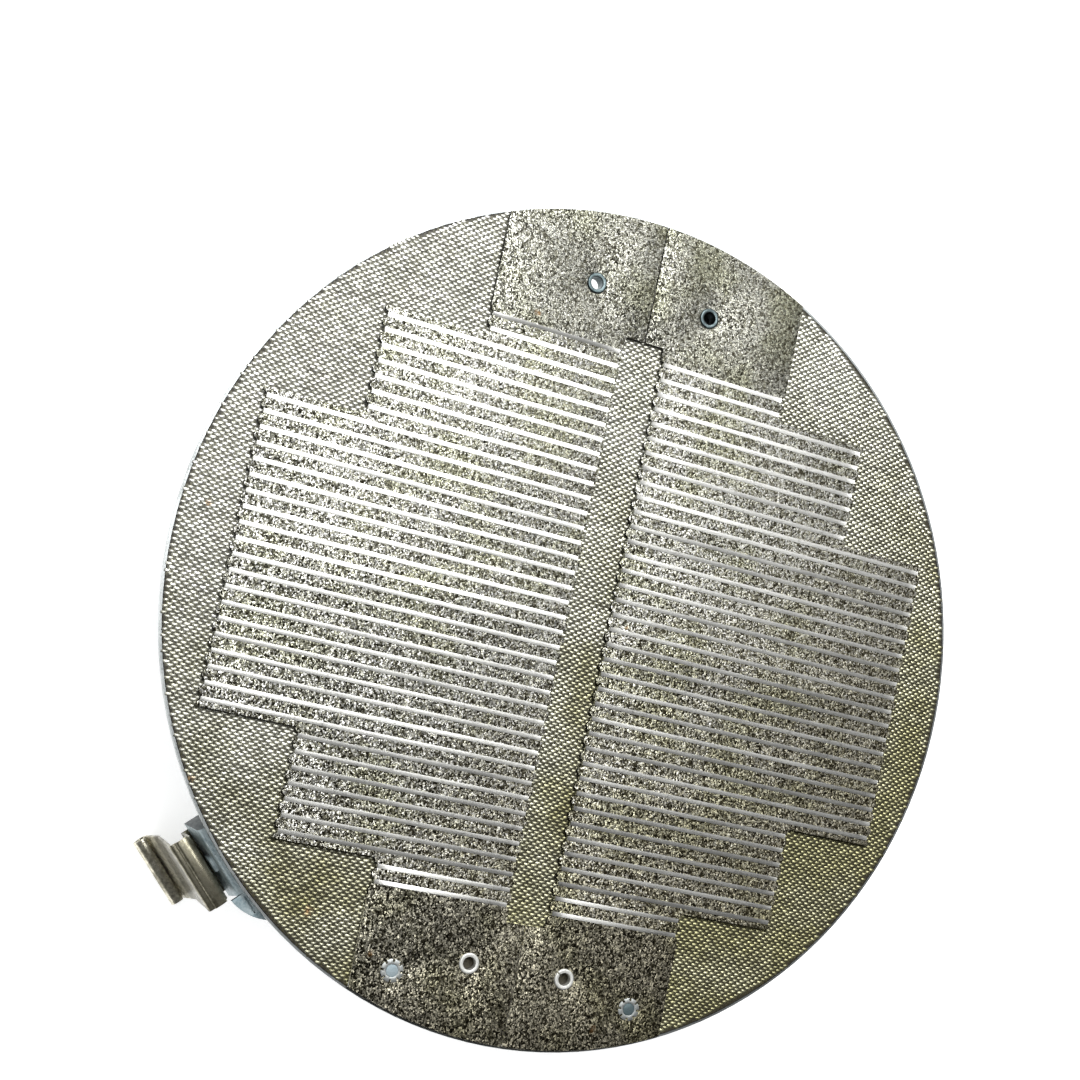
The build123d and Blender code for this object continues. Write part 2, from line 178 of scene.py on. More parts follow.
def addRange(tree, source, low, high, newLow, newHigh):
    node = addNode(tree, "ShaderNodeMapRange", {"interpolation_type": "SMOOTHSTEP"},
                   {"From Min": low, "From Max": high, "To Min": newLow, "To Max": newHigh},
                   {"Value": source})
    return node.outputs["Result"]


def addMix(tree, factor, first, second, blend="MIX"):
    node = tree.nodes.new("ShaderNodeMix")
    node.data_type = "RGBA"
    node.blend_type = blend
    for label, part in (("Factor", factor), ("A", first), ("B", second)):
        socket = node.inputs[label]
        if isinstance(part, (int, float)):
            socket.default_value = part
        elif isinstance(part, tuple):
            socket.default_value = (*part, 1.0)
        else:
            tree.links.new(part, socket)
    return node.outputs["Result"]


def addRamp(tree, source, stops):
    node = tree.nodes.new("ShaderNodeValToRGB")
    ramp = node.color_ramp
    while len(ramp.elements) < len(stops):
        ramp.elements.new(0.5)
    for element, (position, color) in zip(ramp.elements, stops):
        element.position = position
        element.color = (*color, 1.0)
    tree.links.new(source, node.inputs["Fac"])
    return node.outputs["Color"]


def newGroup(name, inputs, outputs):
    tree = bpy.data.node_groups.new(name, "ShaderNodeTree")
    for label, kind, value in inputs:
        socket = tree.interface.new_socket(name=label, in_out="INPUT", socket_type=kind)
        if value is not None:
            socket.default_value = value
    for label, kind in outputs:
        tree.interface.new_socket(name=label, in_out="OUTPUT", socket_type=kind)
    return tree, tree.nodes.new("NodeGroupInput").outputs, tree.nodes.new("NodeGroupOutput").inputs


def useGroup(tree, group, values=None, links=None):
    node = addNode(tree, "ShaderNodeGroup", {"node_tree": group}, values, links)
    return node.outputs


def newMaterial(name):
    material = bpy.data.materials.new(name)
    material.use_nodes = True
    tree = material.node_tree
    coords = tree.nodes.new("ShaderNodeTexCoord").outputs["Object"]
    return material, tree, tree.nodes["Principled BSDF"], coords


# Small facets with their own tone and tilt, and dark cracks between them.
def makeFlakeGroup():
    tree, given, result = newGroup(
        "flakeFacets",
        [("Vector", "NodeSocketVector", None), ("Stretch", "NodeSocketVector", (1.0, 1.0, 1.0)),
         ("Flakes per metre", "NodeSocketFloat", 2200.0), ("Tilt", "NodeSocketFloat", 0.5)],
        [("Tone", "NodeSocketFloat"), ("Sparkle", "NodeSocketFloat"), ("Crack", "NodeSocketFloat"),
         ("Normal", "NodeSocketVector")])
    scaled = addNode(tree, "ShaderNodeVectorMath", {"operation": "MULTIPLY"}, None,
                     {0: given["Vector"], 1: given["Stretch"]})
    bend = addNode(tree, "ShaderNodeTexNoise", None, {"Scale": 1500.0, "Detail": 1.0},
                   {"Vector": scaled.outputs[0]})
    push = addNode(tree, "ShaderNodeVectorMath", {"operation": "MULTIPLY_ADD"},
                   {1: (0.0007, 0.0007, 0.0007)}, {0: bend.outputs["Color"], 2: scaled.outputs[0]})
    placed = {"Vector": push.outputs[0], "Scale": given["Flakes per metre"]}
    cells = addNode(tree, "ShaderNodeTexVoronoi", {"feature": "F1"}, None, placed)
    edges = addNode(tree, "ShaderNodeTexVoronoi", {"feature": "DISTANCE_TO_EDGE"}, None, placed)
    parts = addNode(tree, "ShaderNodeSeparateColor", None, None, {"Color": cells.outputs["Color"]})
    finer = addMath(tree, "MULTIPLY", given["Flakes per metre"], 1.5)
    grain = addNode(tree, "ShaderNodeTexNoise", None, {"Detail": 2.0, "Roughness": 0.6},
                    {"Vector": given["Vector"], "Scale": finer})
    blend = addMath(tree, "MULTIPLY", parts.outputs["Red"], 0.5)
    tone = addMath(tree, "MULTIPLY_ADD", grain.outputs["Fac"], 0.5, blend)
    centred = addNode(tree, "ShaderNodeVectorMath", {"operation": "SUBTRACT"}, {1: (0.5, 0.5, 0.5)},
                      {0: cells.outputs["Color"]})
    tilted = addNode(tree, "ShaderNodeVectorMath", {"operation": "SCALE"}, None,
                     {0: centred.outputs[0], "Scale": given["Tilt"]})
    facing = tree.nodes.new("ShaderNodeNewGeometry")
    total = addNode(tree, "ShaderNodeVectorMath", {"operation": "ADD"}, None,
                    {0: facing.outputs["Normal"], 1: tilted.outputs[0]})
    unit = addNode(tree, "ShaderNodeVectorMath", {"operation": "NORMALIZE"}, None, {0: total.outputs[0]})
    tree.links.new(tone, result["Tone"])
    tree.links.new(parts.outputs["Green"], result["Sparkle"])
    tree.links.new(addRange(tree, edges.outputs["Distance"], 0.02, 0.16, 1.0, 0.0), result["Crack"])
    tree.links.new(unit.outputs[0], result["Normal"])
    return tree


# Rolled or drawn metal: long streaks, soft clouds and a few pits.
def makeMetalGroup():
    tree, given, result = newGroup(
        "metalGrain",
        [("Vector", "NodeSocketVector", None), ("Stretch", "NodeSocketVector", (1.0, 1.0, 1.0)),
         ("Streaks per metre", "NodeSocketFloat", 3000.0), ("Clouds per metre", "NodeSocketFloat", 120.0)],
        [("Streaks", "NodeSocketFloat"), ("Clouds", "NodeSocketFloat"), ("Pits", "NodeSocketFloat")])
    longWay = addNode(tree, "ShaderNodeVectorMath", {"operation": "MULTIPLY"}, None,
                      {0: given["Vector"], 1: given["Stretch"]})
    streaks = addNode(tree, "ShaderNodeTexNoise", None, {"Detail": 3.0, "Roughness": 0.65},
                      {"Vector": longWay.outputs[0], "Scale": given["Streaks per metre"]})
    clouds = addNode(tree, "ShaderNodeTexNoise", None, {"Detail": 3.0, "Roughness": 0.6, "Distortion": 0.4},
                     {"Vector": given["Vector"], "Scale": given["Clouds per metre"]})
    finer = addMath(tree, "MULTIPLY", given["Clouds per metre"], 9.0)
    pits = addNode(tree, "ShaderNodeTexNoise", None, {"Detail": 2.0, "Roughness": 0.7},
                   {"Vector": given["Vector"], "Scale": finer})
    tree.links.new(streaks.outputs["Fac"], result["Streaks"])
    tree.links.new(clouds.outputs["Fac"], result["Clouds"])
    tree.links.new(addRange(tree, pits.outputs["Fac"], 0.60, 0.72, 0.0, 1.0), result["Pits"])
    return tree


# A ragged stain of a given size round a given place.
def makeStainGroup():
    tree, given, result = newGroup(
        "stainSpot",
        [("Vector", "NodeSocketVector", None), ("Centre", "NodeSocketVector", (0.0, 0.0, 0.0)),
         ("Radius", "NodeSocketFloat", 0.003)],
        [("Mask", "NodeSocketFloat")])
    gap = addNode(tree, "ShaderNodeVectorMath", {"operation": "DISTANCE"}, None,
                  {0: given["Vector"], 1: given["Centre"]})
    share = addMath(tree, "DIVIDE", gap.outputs["Value"], given["Radius"])
    ragged = addNode(tree, "ShaderNodeTexNoise", None, {"Scale": 900.0, "Detail": 3.0},
                     {"Vector": given["Vector"]})
    spread = addMath(tree, "MULTIPLY_ADD", ragged.outputs["Fac"], 1.6, share)
    tree.links.new(addRange(tree, spread, 0.9, 1.7, 1.0, 0.0), result["Mask"])
    return tree


flakeFacets = makeFlakeGroup()
metalGrain = makeMetalGroup()
stainSpot = makeStainGroup()

paintedShadeSlope = {"heading": (0.62, -0.78, 0.0), "reach": 0.09}


# Painted shade: the colour grows darker and browner towards one side of the plate, standing in for the light
# falling off across it: 0 at the pale side, 1 at the dark side.
def addPaintedShadeSlope(tree, coords):
    slide = addNode(tree, "ShaderNodeVectorMath", {"operation": "DOT_PRODUCT"}, {1: paintedShadeSlope["heading"]},
                    {0: coords})
    return addRange(tree, slide.outputs["Value"], -paintedShadeSlope["reach"], paintedShadeSlope["reach"], 0.0, 1.0)


micaLook = {
    "flakesPerMetre": 2800.0, "tilt": 0.52, "stretch": (1.0, 0.8, 1.0), "metallic": 0.94,
    "tones": [(0.30, (0.02, 0.019, 0.013)), (0.42, (0.17, 0.168, 0.13)), (0.51, (0.50, 0.50, 0.43)),
              (0.61, (1.0, 1.0, 0.90))],
    "crack": (0.016, 0.012, 0.006), "crackShare": 0.8, "wall": (0.010, 0.009, 0.006),
    "combStretch": (0.22, 1.0, 1.0), "combPerMetre": 3200.0, "combReach": 0.0675, "combShare": 0.25,
    "woundPaintedLight": (1.5, 1.5, 1.5),
    "olive": (0.92, 0.93, 0.80), "roughness": (0.34, 0.54), "bump": 0.4,
    "paintedShadeTint": [(0.0, (1.0, 1.0, 1.0)), (0.5, (1.0, 0.99, 0.97)), (1.0, (0.86, 0.80, 0.68))],
    "paintedLightWall": (1.0, 0.97, 0.88), "paintedLightWallBelow": -0.07,
    "stains": [((-28.0, 70.0, 3.6), 1.2), ((10.0, 3.0, 3.6), 0.9), ((-36.0, -83.0, 3.6), 1.2),
               ((22.0, -92.0, 3.6), 1.4)],
    "rust": (0.30, 0.17, 0.07),
}


# A mask of faces that stand upright on the plate, such as card edges and groove sides: 1 on them, 0 on flat faces;
# the mica paints shade and light onto them through it.
def addWallMask(tree):
    facing = addNode(tree, "ShaderNodeSeparateXYZ", None, None,
                     {"Vector": tree.nodes.new("ShaderNodeTexCoord").outputs["Normal"]})
    return addRange(tree, addMath(tree, "ABSOLUTE", facing.outputs["Z"]), 0.35, 0.8, 1.0, 0.0)


def addStains(tree, coords, color, look, share):
    for place, radius in look["stains"]:
        spot = useGroup(tree, stainSpot, {"Centre": [c * mm for c in place], "Radius": radius * mm},
                        {"Vector": coords})
        color = addMix(tree, addMath(tree, "MULTIPLY", spot["Mask"], share), color, look["rust"])
    return color


def makeMica():
    material, tree, shader, coords = newMaterial("micaCard")
    flakes = useGroup(tree, flakeFacets,
                      {"Flakes per metre": micaLook["flakesPerMetre"], "Tilt": micaLook["tilt"],
                       "Stretch": micaLook["stretch"]}, {"Vector": coords})
    shadeAmount = addPaintedShadeSlope(tree, coords)
    comb = useGroup(tree, metalGrain,
                    {"Stretch": micaLook["combStretch"], "Streaks per metre": micaLook["combPerMetre"]},
                    {"Vector": coords})
    place = addNode(tree, "ShaderNodeSeparateXYZ", None, None, {"Vector": coords})
    wound = addMath(tree, "LESS_THAN", addMath(tree, "ABSOLUTE", place.outputs["Y"]), micaLook["combReach"])
    scratched = addRange(tree, comb["Streaks"], 0.42, 0.56, micaLook["combShare"], 0.0)
    combed = addMath(tree, "MULTIPLY", scratched, wound)
    # Painted light: flake contrast grows along the painted shade slope, 0.85 times on the pale side to 1.7 times
    # on the dark side, standing in for stronger glints there.
    spread = addMath(tree, "MULTIPLY", addMath(tree, "SUBTRACT", flakes["Tone"], 0.5),
                     addRange(tree, shadeAmount, 0.0, 1.0, 0.85, 1.7))
    color = addRamp(tree, addMath(tree, "ADD", spread, 0.5), micaLook["tones"])
    # Painted shade: the colour is multiplied darker and browner along the painted shade slope.
    color = addMix(tree, 1.0, color, addRamp(tree, shadeAmount, micaLook["paintedShadeTint"]), "MULTIPLY")
    cracked = addMath(tree, "MULTIPLY", flakes["Crack"], micaLook["crackShare"])
    color = addMix(tree, cracked, color, micaLook["crack"])
    # Painted light: the wound part of the card is lifted 1.5 times against the shade the ribbons cast on it.
    color = addMix(tree, wound, color, addMix(tree, 1.0, color, micaLook["woundPaintedLight"], "MULTIPLY"))
    color = addMix(tree, combed, color, micaLook["crack"])
    clouds = addNode(tree, "ShaderNodeTexNoise", None, {"Scale": 60.0, "Detail": 3.0}, {"Vector": coords})
    olive = addRange(tree, clouds.outputs["Fac"], 0.45, 0.66, 0.0, 0.9)
    color = addMix(tree, olive, color, addMix(tree, 1.0, color, micaLook["olive"], "MULTIPLY"))
    color = addStains(tree, coords, color, micaLook, 0.5)
    # Painted shade and light on the card walls: a dark shade colour on the upper walls, a pale light colour on
    # walls below the given Y.
    low = addMath(tree, "LESS_THAN", place.outputs["Y"], micaLook["paintedLightWallBelow"])
    color = addMix(tree, addWallMask(tree), color, addMix(tree, low, micaLook["wall"], micaLook["paintedLightWall"]))
    tree.links.new(color, shader.inputs["Base Color"])
    low, high = micaLook["roughness"]
    tree.links.new(addRange(tree, flakes["Sparkle"], 0.0, 1.0, low, high), shader.inputs["Roughness"])
    shader.inputs["Metallic"].default_value = micaLook["metallic"]
    bump = addNode(tree, "ShaderNodeBump", {"invert": True}, {"Strength": micaLook["bump"], "Distance": 0.0001},
                   {"Height": flakes["Crack"], "Normal": flakes["Normal"]})
    tree.links.new(bump.outputs[0], shader.inputs["Normal"])
    return material


threadLook = {
    "weft": [(0.0, (0.88, 0.88, 0.80)), (0.45, (0.66, 0.655, 0.54)), (1.0, (0.40, 0.385, 0.22))],
    "warp": [(0.0, (0.14, 0.135, 0.10)), (0.45, (0.040, 0.037, 0.016)), (1.0, (0.026, 0.022, 0.006))],
    "metallic": (1.0, 0.15), "roughness": (0.42, 0.52), "warpRougher": 0.25, "fibresPerMetre": 6000.0,
    "stains": [((-93.0, 8.0, 2.4), 1.2), ((-84.0, -52.0, 2.4), 1.3), ((-52.0, -76.0, 2.4), 1.6)],
    "rust": (0.50, 0.30, 0.14),
}


def makeThreads():
    material, tree, shader, coords = newMaterial("wovenThreads")
    tone = addNode(tree, "ShaderNodeAttribute", {"attribute_name": "threadTone"}).outputs["Fac"]
    kind = addNode(tree, "ShaderNodeAttribute", {"attribute_name": "threadKind"}).outputs["Fac"]
    clouds = addNode(tree, "ShaderNodeTexNoise", None, {"Scale": 45.0, "Detail": 4.0, "Roughness": 0.6},
                     {"Vector": coords})
    # Painted shade: the thread colours darken along the painted shade slope, with random clouds on top.
    depth = addMath(tree, "ADD", addPaintedShadeSlope(tree, coords),
                    addRange(tree, clouds.outputs["Fac"], 0.35, 0.75, -0.2, 0.35))
    color = addMix(tree, kind, addRamp(tree, depth, threadLook["weft"]), addRamp(tree, depth, threadLook["warp"]))
    fibres = addNode(tree, "ShaderNodeTexNoise", None,
                     {"Scale": threadLook["fibresPerMetre"], "Detail": 2.0}, {"Vector": coords})
    grey = addMath(tree, "MULTIPLY", addRange(tree, fibres.outputs["Fac"], 0.3, 0.7, 0.75, 1.2), tone)
    shade = addNode(tree, "ShaderNodeCombineColor", None, None, {"Red": grey, "Green": grey, "Blue": grey})
    color = addMix(tree, 1.0, color, shade.outputs[0], "MULTIPLY")
    color = addStains(tree, coords, color, threadLook, 0.55)
    tree.links.new(color, shader.inputs["Base Color"])
    low, high = threadLook["roughness"]
    rough = addRange(tree, fibres.outputs["Fac"], 0.3, 0.7, low, high)
    tree.links.new(addMath(tree, "MULTIPLY_ADD", kind, threadLook["warpRougher"], rough),
                   shader.inputs["Roughness"])
    weftMetal, warpMetal = threadLook["metallic"]
    tree.links.new(addRange(tree, kind, 0.0, 1.0, weftMetal, warpMetal), shader.inputs["Metallic"])
    bump = addNode(tree, "ShaderNodeBump", None, {"Strength": 0.3, "Distance": 0.00006},
                   {"Height": fibres.outputs["Fac"]})
    tree.links.new(bump.outputs[0], shader.inputs["Normal"])
    return material


def makeResin():
    material, tree, shader, coords = newMaterial("boardResin")
    grain = addNode(tree, "ShaderNodeTexNoise", None, {"Scale": 2500.0, "Detail": 3.0}, {"Vector": coords})
    color = addRamp(tree, grain.outputs["Fac"],
                    [(0.3, (0.008, 0.007, 0.003)), (0.55, (0.022, 0.018, 0.008)), (0.8, (0.05, 0.042, 0.02))])
    tree.links.new(color, shader.inputs["Base Color"])
    tree.links.new(addRange(tree, grain.outputs["Fac"], 0.3, 0.7, 0.45, 0.7), shader.inputs["Roughness"])
    bump = addNode(tree, "ShaderNodeBump", None, {"Strength": 0.5, "Distance": 0.0001},
                   {"Height": grain.outputs["Fac"]})
    tree.links.new(bump.outputs[0], shader.inputs["Normal"])
    return material


pitColor = (0.10, 0.09, 0.08)
metalLooks = {
    "zincPan": {"tint": (0.50, 0.52, 0.52), "dull": (0.30, 0.32, 0.32), "rough": (0.36, 0.52),
                "stretch": (1.0, 1.0, 1.0), "streaks": 1800.0, "clouds": 90.0, "bump": 0.25},
    "zincBracket": {"tint": (0.50, 0.58, 0.60), "dull": (0.22, 0.30, 0.33), "rough": (0.38, 0.52), "metallic": 0.4,
                    "shade": (0.006, 0.016, 0.018), "shadeHeading": (-0.687, 0.727, 0.0),
                    "stretch": (1.0, 1.0, 1.0), "streaks": 1500.0, "clouds": 260.0, "bump": 0.3},
    "springSteel": {"tint": (0.46, 0.44, 0.36), "dull": (0.13, 0.122, 0.090), "rough": (0.26, 0.40),
                    "metallic": 0.85,
                    # Painted highlight: 1.9 times on the rolled lip near the bottom, darker up the leg and saddle.
                    "levels": [(0.0, (1.9, 1.9, 1.9)), (0.15, (1.9, 1.9, 1.9)), (0.2, (0.6, 0.59, 0.53)),
                               (0.84, (0.6, 0.59, 0.53)), (0.93, (0.8, 0.79, 0.73))],
                    "bottom": -0.036,
                    "stretch": (0.5, 0.5, 0.12), "streaks": 1900.0, "clouds": 260.0, "bump": 0.5},
    "ribbonMetal": {"tint": (0.74, 0.74, 0.71), "dull": (0.58, 0.58, 0.55), "rough": (0.33, 0.42),
                    "stretch": (0.05, 1.0, 1.0), "streaks": 5000.0, "clouds": 60.0, "bump": 0.12},
    "eyeletSteel": {"tint": (0.13, 0.165, 0.17), "dull": (0.05, 0.068, 0.072), "rough": (0.34, 0.48),
                    "stretch": (1.0, 1.0, 1.0), "streaks": 3000.0, "clouds": 400.0, "bump": 0.25},
    "leadSteel": {"tint": (0.96, 0.96, 0.92), "dull": (0.78, 0.79, 0.75), "rough": (0.46, 0.56), "metallic": 0.8,
                  "stretch": (1.0, 1.0, 1.0), "streaks": 3000.0, "clouds": 400.0, "bump": 0.25},
    "petalSteel": {"tint": (0.80, 0.82, 0.80), "dull": (0.46, 0.49, 0.48), "rough": (0.44, 0.56),
                   "stretch": (1.0, 1.0, 1.0), "streaks": 3000.0, "clouds": 700.0, "bump": 0.4},
    "palePin": {"tint": (0.36, 0.43, 0.46), "dull": (0.27, 0.34, 0.37), "rough": (0.50, 0.60), "metallic": 0.4,
                "stretch": (1.0, 1.0, 1.0), "streaks": 3000.0, "clouds": 500.0, "bump": 0.2},
    "dullPin": {"tint": (0.14, 0.19, 0.20), "dull": (0.08, 0.115, 0.125), "rough": (0.44, 0.56), "metallic": 0.6,
                "stretch": (1.0, 1.0, 1.0), "streaks": 3000.0, "clouds": 500.0, "bump": 0.2},
    "tinnedBrass": {"tint": (0.66, 0.62, 0.52), "dull": (0.46, 0.40, 0.28), "rough": (0.26, 0.42),
                    "stretch": (1.0, 1.0, 0.15), "streaks": 2600.0, "clouds": 200.0, "bump": 0.2},
    "nickelStrip": {"tint": (0.60, 0.58, 0.53), "dull": (0.42, 0.40, 0.36), "rough": (0.28, 0.42),
                    "stretch": (0.15, 1.0, 1.0), "streaks": 2600.0, "clouds": 150.0, "bump": 0.2},
    "rivetSteel": {"tint": (0.56, 0.58, 0.59), "dull": (0.34, 0.36, 0.37), "rough": (0.30, 0.46),
                   "stretch": (1.0, 1.0, 1.0), "streaks": 3000.0, "clouds": 400.0, "bump": 0.25},
}


# Painted shade: walls that face a look's shade heading get the look's shade colour, standing in for the shade on
# the bracket's upper end wall.
def paintedShadeEnd(tree, color, look):
    normal = tree.nodes.new("ShaderNodeTexCoord").outputs["Normal"]
    end = addNode(tree, "ShaderNodeVectorMath", {"operation": "DOT_PRODUCT"}, {1: look["shadeHeading"]},
                  {0: normal})
    return addMix(tree, addRange(tree, end.outputs["Value"], 0.5, 0.9, 0.0, 1.0), color, look["shade"])


# A strip's colour scaled by its height on the part, from the bottom of the clip up to the pan's rear face: a
# painted highlight lifts the rolled lip at the bottom 1.9 times, and the leg and saddle above are darker.
def paintLightByHeight(tree, coords, color, look):
    place = addNode(tree, "ShaderNodeSeparateXYZ", None, None, {"Vector": coords})
    height = addRange(tree, place.outputs["Z"], look["bottom"], 0.0, 0.0, 1.0)
    return addMix(tree, 1.0, color, addRamp(tree, height, look["levels"]), "MULTIPLY")


def makeMetal(name):
    look = metalLooks[name]
    material, tree, shader, coords = newMaterial(name)
    grain = useGroup(tree, metalGrain,
                     {"Stretch": look["stretch"], "Streaks per metre": look["streaks"],
                      "Clouds per metre": look["clouds"]}, {"Vector": coords})
    cloudy = addRange(tree, grain["Clouds"], 0.35, 0.65, 0.0, 1.0)
    streaky = addRange(tree, grain["Streaks"], 0.35, 0.65, 0.0, 1.0)
    share = addMath(tree, "MULTIPLY_ADD", streaky, 0.45, addMath(tree, "MULTIPLY", cloudy, 0.55))
    color = addMix(tree, share, look["dull"], look["tint"])
    color = addMix(tree, addMath(tree, "MULTIPLY", grain["Pits"], 0.35), color, pitColor)
    if "shade" in look:
        color = paintedShadeEnd(tree, color, look)
    if "levels" in look:
        color = paintLightByHeight(tree, coords, color, look)
    tree.links.new(color, shader.inputs["Base Color"])
    low, high = look["rough"]
    tree.links.new(addRange(tree, share, 0.0, 1.0, high, low), shader.inputs["Roughness"])
    shader.inputs["Metallic"].default_value = look.get("metallic", 1.0)
    bump = addNode(tree, "ShaderNodeBump", None, {"Strength": look["bump"], "Distance": 0.00005},
                   {"Height": grain["Streaks"]})
    tree.links.new(bump.outputs[0], shader.inputs["Normal"])
    return material


def makeCeramic():
    material, tree, shader, coords = newMaterial("steatite")
    grain = addNode(tree, "ShaderNodeTexNoise", None, {"Scale": 1400.0, "Detail": 4.0}, {"Vector": coords})
    color = addRamp(tree, grain.outputs["Fac"],
                    [(0.3, (0.60, 0.56, 0.47)), (0.5, (0.74, 0.71, 0.63)), (0.75, (0.80, 0.78, 0.72))])
    tree.links.new(color, shader.inputs["Base Color"])
    tree.links.new(addRange(tree, grain.outputs["Fac"], 0.3, 0.7, 0.5, 0.7), shader.inputs["Roughness"])
    bump = addNode(tree, "ShaderNodeBump", None, {"Strength": 0.4, "Distance": 0.0001},
                   {"Height": grain.outputs["Fac"]})
    tree.links.new(bump.outputs[0], shader.inputs["Normal"])
    return material


finishes = {name: makeMetal(name) for name in metalLooks}
finishes["micaCard"] = makeMica()
finishes["wovenThreads"] = makeThreads()
finishes["boardResin"] = makeResin()
finishes["steatite"] = makeCeramic()
print("stage: finishes")


def finishPiece(name, bm, finish, stands=(), angle=40.0):
    mesh = bpy.data.meshes.new(name)
    bm.to_mesh(mesh)
    bm.free()
    mesh.materials.append(finishes[finish])
    mesh.shade_smooth()
    mesh.set_sharp_from_angle(angle=math.radians(angle))
    piece = bpy.data.objects.new(name, mesh)
    scene.collection.objects.link(piece)
    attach(piece, "root")
    if stands:
        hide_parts(*stands)
    return piece


soften = {"merge": 0.002, "sharpAngle": 30.0, "segments": 2}


# A CAD node copied, merged and given soft edges.
def softenedCopy(node, name, finish, edge):
    bm = bmesh.new()
    bm.from_mesh(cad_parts[node].data)
    bmesh.ops.remove_doubles(bm, verts=bm.verts, dist=soften["merge"] * mm)
    least = math.radians(soften["sharpAngle"])
    sharp = [e for e in bm.edges if len(e.link_faces) == 2 and e.calc_face_angle(0.0) > least]
    bmesh.ops.bevel(bm, geom=sharp, offset=edge * mm, offset_type="OFFSET", segments=soften["segments"],
                    profile=0.5, affect="EDGES", clamp_overlap=True, material=-1)
    for layer in list(bm.loops.layers.uv.values()):
        bm.loops.layers.uv.remove(layer)
    bmesh.ops.recalc_face_normals(bm, faces=bm.faces)
    return finishPiece(name, bm, finish, [node])


# The board's cloth: staggered thread floats.
weave = {
    "columnPitch": 0.9217, "rowPitch": 0.700, "turn": 0.5,
    "weftLength": 1.46, "weftWidth": 0.84, "weftHeight": 0.24,
    "warpLength": 0.98, "warpWidth": 0.56, "warpHeight": 0.10,
    "reach": 100.0, "radius": 99.45, "rimGap": 0.3, "underCard": 1.6, "sink": 0.01, "seed": 11,
    "wander": 0.30, "wanderPeriod": 16.0, "jitter": 0.05, "skew": 7.0, "tip": 4.0,
    "weftGrid": (4, 5), "warpGrid": (3, 3), "narrowing": 0.26,
    "rowTones": (0.85, 1.12), "floatTones": (0.72, 1.22), "sizes": (0.9, 1.1), "heights": (0.8, 1.15),
}
cards = {
    "gapHalf": 5.0, "gapLength": 70.69, "seamHalf": 0.15, "runPitch": 3.61, "firstRun": 66.785,
    "halfWidths": (39.4, 63.7, 86.7), "runGroups": (2, 7, 20, 7, 2), "groupEnds": (61.37, 36.1),
}


def insideCard(x, y):
    away = abs(y)
    if away > cards["gapLength"]:
        return cards["seamHalf"] < abs(x) < cards["halfWidths"][0]
    if away > cards["groupEnds"][0]:
        half = cards["halfWidths"][0]
    elif away > cards["groupEnds"][1]:
        half = cards["halfWidths"][1]
    else:
        half = cards["halfWidths"][2]
    return cards["gapHalf"] < abs(x) < half


def hiddenByCard(x, y):
    reach = weave["underCard"]
    return all(insideCard(x + dx, y + dy) for dx, dy in ((reach, 0), (-reach, 0), (0, reach), (0, -reach)))


def floatShape(thread, kind):
    length, width, height = (weave[thread + part] for part in ("Length", "Width", "Height"))
    along, across = weave[thread + "Grid"]
    bm = bmesh.new()
    bmesh.ops.create_grid(bm, x_segments=along, y_segments=across, size=0.5)
    for vert in bm.verts:
        far, wide = (math.copysign(abs(2 * c) ** 0.75, c) for c in (vert.co.x, vert.co.y))
        rise = (1 - abs(far) ** 3.6) * (1 - abs(wide) ** 4)
        narrow = 1 - weave["narrowing"] * far * far
        vert.co = Vector((far * length / 2, wide * width / 2 * narrow, height * rise)) * mm
    mesh = bpy.data.meshes.new(thread + "Float")
    bm.to_mesh(mesh)
    bm.free()
    mesh.attributes.new("threadTone", "FLOAT", "POINT")
    marks = mesh.attributes.new("threadKind", "FLOAT", "POINT")
    marks.data.foreach_set("value", [kind] * len(mesh.vertices))
    return mesh


